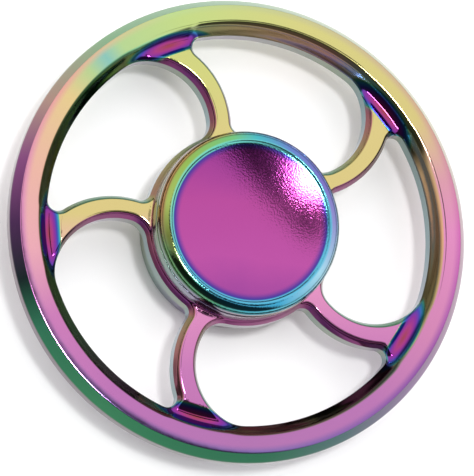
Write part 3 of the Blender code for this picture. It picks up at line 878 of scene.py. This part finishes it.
def cap_material():
    """A cap's plating: satin in the dish, polished and banded on the lip, with painted highlights and
    reflections in the lip's bands.
    """
    g = Look("iridescent_cap")
    where, _, y, _, radius, angle, facing = g.place()
    wander = g.wander(where, 120.0, 3.0, 0.2)
    along = g.total(g.math("DIVIDE", y, 24.0), 0.5, wander)
    dish = g.ramp(
        along,
        [
            (0.0, (150, 70, 158)),
            (0.3, (192, 86, 168)),
            (0.6, (188, 80, 160)),
            (1.0, (146, 56, 150)),
        ],
    )
    dish = g.mix(g.between(radius, 9.1, 10.1), dish, srgb(62, 62, 160))
    # Outer part of the lip: coating colours with a painted pale highlight round 300 to 330 degrees.
    outer_tint_and_painted_reflections = g.ramp(
        angle,
        [
            (0.0, (120, 180, 210)),
            (0.08, (112, 148, 208)),
            (0.17, (112, 122, 200)),
            (0.25, (100, 170, 190)),
            (0.29, (190, 180, 110)),
            (0.36, (196, 150, 92)),
            (0.48, (182, 132, 92)),
            (0.55, (112, 150, 100)),
            (0.68, (96, 168, 130)),
            (0.74, (90, 190, 210)),
            (0.84, (120, 206, 226)),
            (0.92, (190, 226, 236)),
            (1.0, (120, 180, 210)),
        ],
    )
    # Middle of the lip: coating colours with a painted dark reflection round 190 to 225 degrees and a
    # painted white highlight round 325 degrees.
    lip_middle_and_reflections = g.ramp(
        angle,
        [
            (0.0, (150, 150, 210)),
            (0.08, (130, 120, 200)),
            (0.17, (110, 140, 210)),
            (0.235, (80, 190, 200)),
            (0.28, (120, 200, 130)),
            (0.38, (150, 190, 90)),
            (0.47, (170, 190, 100)),
            (0.53, (110, 120, 60)),
            (0.62, (60, 104, 80)),
            (0.7, (60, 140, 170)),
            (0.8, (70, 172, 212)),
            (0.9, (170, 220, 240)),
            (1.0, (150, 150, 210)),
        ],
    )
    ring_tint = g.ramp(
        angle,
        [
            (0.0, (104, 196, 228)),
            (0.3, (120, 222, 206)),
            (0.45, (136, 226, 196)),
            (0.6, (104, 196, 226)),
            (1.0, (104, 196, 228)),
        ],
    )
    lip = g.mix(g.between(radius, 11.1, 11.6), lip_middle_and_reflections, outer_tint_and_painted_reflections)
    lip = g.mix(g.between(radius, 10.75, 10.4), lip, ring_tint)
    side = g.ramp(angle, COLLAR_TINT)
    lip = g.mix(g.between(facing[2], 0.3, 0.08), lip, side)
    colour = g.mix(g.between(radius, 9.95, 10.2), dish, lip)
    grain = g.noise(where, 4200.0)
    satin = g.math("ADD", 0.07, g.product(grain, 0.06))
    on_lip = g.between(radius, 10.05, 10.2)
    in_dish = g.math("SUBTRACT", 1.0, on_lip)
    g.metal(colour, g.total(g.product(in_dish, satin), g.product(on_lip, 0.06)))
    g.bump(grain, 0.1, 0.0001)
    return g.material


def steel_material(name, colour, roughness):
    """Steel with a faint cloud of darker grey and fine turned rings in its gloss."""
    g = Look(name)
    where, _, _, _, radius, _, _ = g.place()
    cloud = g.noise(where, 500.0, 3.0)
    low = tuple(int(c * 0.86) for c in colour)
    rings = g.math("SINE", g.product(radius, 90.0))
    shade = g.ramp(cloud, [(0.3, low), (0.7, colour)])
    g.metal(shade, g.math("ADD", roughness, g.product(rings, 0.04)))
    g.bump(cloud, 0.1, 0.0002)
    return g.material


def floor_material():
    g = Look("floor_paper")
    where = g.node("ShaderNodeTexCoord").outputs["Object"]
    paper = [(0.3, (246, 246, 247)), (0.7, (250, 250, 250))]
    g.plug(g.ramp(g.noise(where, 30.0), paper, light=1.0), g.shader.inputs["Base Color"])
    g.shader.inputs["Roughness"].default_value = 0.7
    return g.material


def add_object(name, mesh, material):
    obj = bpy.data.objects.new(name, mesh)
    bpy.context.scene.collection.objects.link(obj)
    mesh.materials.clear()
    mesh.materials.append(material)
    return obj


plating = plated_material()
cap_plating = cap_material()
casting = add_object("wheel_casting", wheel_mesh(), plating)
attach(casting, "wheel")
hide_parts("wheel_body")
for name, sign in (("upper_cap", 1), ("lower_cap", -1)):
    cap = add_object(name + "_shell", cap_mesh(sign), cap_plating)
    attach(cap, "core")
    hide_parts(name)

bearing_steel = steel_material("bearing_steel", (206, 208, 212), 0.14)
sheet_steel = steel_material("sheet_steel", (176, 178, 182), 0.3)
screw_steel = steel_material("screw_steel", (70, 70, 76), 0.3)
for name, obj in nodes.items():
    if name in ("wheel_body", "upper_cap", "lower_cap"):
        continue
    if name == "cap_screw":
        material = screw_steel
    elif "race" in name or "ball" in name:
        material = bearing_steel
    else:
        material = sheet_steel
    obj.data.materials.clear()
    obj.data.materials.append(material)

# Stage: a pale floor, one soft light high above, and a studio all round.
FLOOR = -CAP_TOP * MM
FLOOR_HALF = 1.5
floor_mesh = bpy.data.meshes.new("floor")
floor_corners = [(-1, -1), (1, -1), (1, 1), (-1, 1)]
floor_points = [(x * FLOOR_HALF, y * FLOOR_HALF, FLOOR) for x, y in floor_corners]
floor_mesh.from_pydata(floor_points, [], [(0, 1, 2, 3)])
add_object("floor", floor_mesh, floor_material())


def area_light(name, azimuth, elevation, distance, size, power):
    """A round light that faces the wheel's centre, this far from it in metres."""
    light = bpy.data.lights.new(name, "AREA")
    light.shape = "DISK"
    light.size = size
    light.energy = power
    obj = bpy.data.objects.new(name, light)
    east, north = polar(cos(radians(elevation)), azimuth)
    direction = Vector((east, north, sin(radians(elevation))))
    obj.location = direction * distance
    obj.rotation_euler = (-direction).to_track_quat("-Z", "Y").to_euler()
    bpy.context.scene.collection.objects.link(obj)


area_light("key", 35.0, 88.0, 0.7, 0.1, 1.7)


def studio_world():
    """A pale room with a dim band low down, a dark wall and a dark gap between overhead panels."""
    world = bpy.data.worlds.new("studio")
    sky = Nodes(world)
    split = sky.node("ShaderNodeSeparateXYZ")
    sky.plug(sky.node("ShaderNodeTexCoord").outputs["Generated"], split.inputs[0])
    east, north, up = split.outputs
    levels = [(0.0, 1.0), (0.1, 0.85), (0.18, 0.4), (0.27, 0.4), (0.4, 0.85), (0.6, 0.97), (1.0, 1.0)]
    bands = sky.linear_ramp(up, [(at, (level, level, level, 1.0)) for at, level in levels])

    def share(value, low, high):
        """0 at low, 1 at high, even between."""
        return sky.math("DIVIDE", sky.math("SUBTRACT", value, low), high - low, clamp=True)

    def toward(degrees):
        """How far a direction reaches towards this azimuth."""
        x, y = polar(1.0, degrees)
        return sky.total(sky.product(east, float(x)), sky.product(north, float(y)))

    # The wall stands towards azimuth 252, and lean is how far a direction is from straight up.
    lean = sky.math("SQRT", sky.math("SUBTRACT", 1.0001, sky.product(up, up)))
    wall = share(sky.math("DIVIDE", toward(252.0), lean), 0.5, 0.62)
    wall = sky.product(wall, share(lean, 0.19, 0.25), share(up, 0.2, 0.32))
    # The gap is a strip overhead, a little off towards azimuth 43.
    gap_across = sky.math("ABSOLUTE", sky.math("SUBTRACT", toward(43.0), 0.143))
    gap_along = sky.math("ABSOLUTE", sky.math("ADD", toward(133.0), 0.1))
    gap = sky.product(share(gap_across, 0.09, 0.06), share(gap_along, 0.28, 0.22), share(up, 0.7, 0.8))
    dark = sky.math("MAXIMUM", sky.product(wall, 0.95), sky.product(gap, 0.97))
    background = sky.tree.nodes["Background"]
    sky.plug(sky.product(bands, sky.math("SUBTRACT", 1.0, dark)), background.inputs[0])
    background.inputs[1].default_value = STUDIO
    return world


bpy.context.scene.world = studio_world()

# Camera: TILT off the wheel's axis, with the picture's axes turned by LEAN from the wheel's.
LEAN = radians(35.4)
TILT = radians(19.0)
DISTANCE = 450.0
SHIFT_RIGHT = -0.26
SHIFT_UP = -0.98
SENSOR = 36.0
IMAGE_HEIGHT = 476
FOCAL_PIXELS = 3530.0
lean_x = Vector((cos(LEAN), sin(LEAN), 0.0))
lean_y = Vector((-sin(LEAN), cos(LEAN), 0.0))
axis_z = Vector((0.0, 0.0, 1.0))
tipped = cos(TILT) * lean_x + sin(TILT) * axis_z
right = cos(LEAN) * tipped - sin(LEAN) * lean_y
above = sin(LEAN) * tipped + cos(LEAN) * lean_y
back = cos(TILT) * axis_z - sin(TILT) * lean_x
camera_data = bpy.data.cameras.new("camera")
camera_data.sensor_width = SENSOR
camera_data.lens = FOCAL_PIXELS * SENSOR / IMAGE_HEIGHT
camera_data.clip_start = 0.01
camera = bpy.data.objects.new("camera", camera_data)
turn = Matrix((right, above, back)).transposed().to_4x4()
place = back * DISTANCE + right * SHIFT_RIGHT + above * SHIFT_UP
camera.matrix_world = Matrix.Translation(place * MM) @ turn
bpy.context.scene.collection.objects.link(camera)
bpy.context.scene.camera = camera
bpy.context.scene.view_settings.view_transform = "Standard"
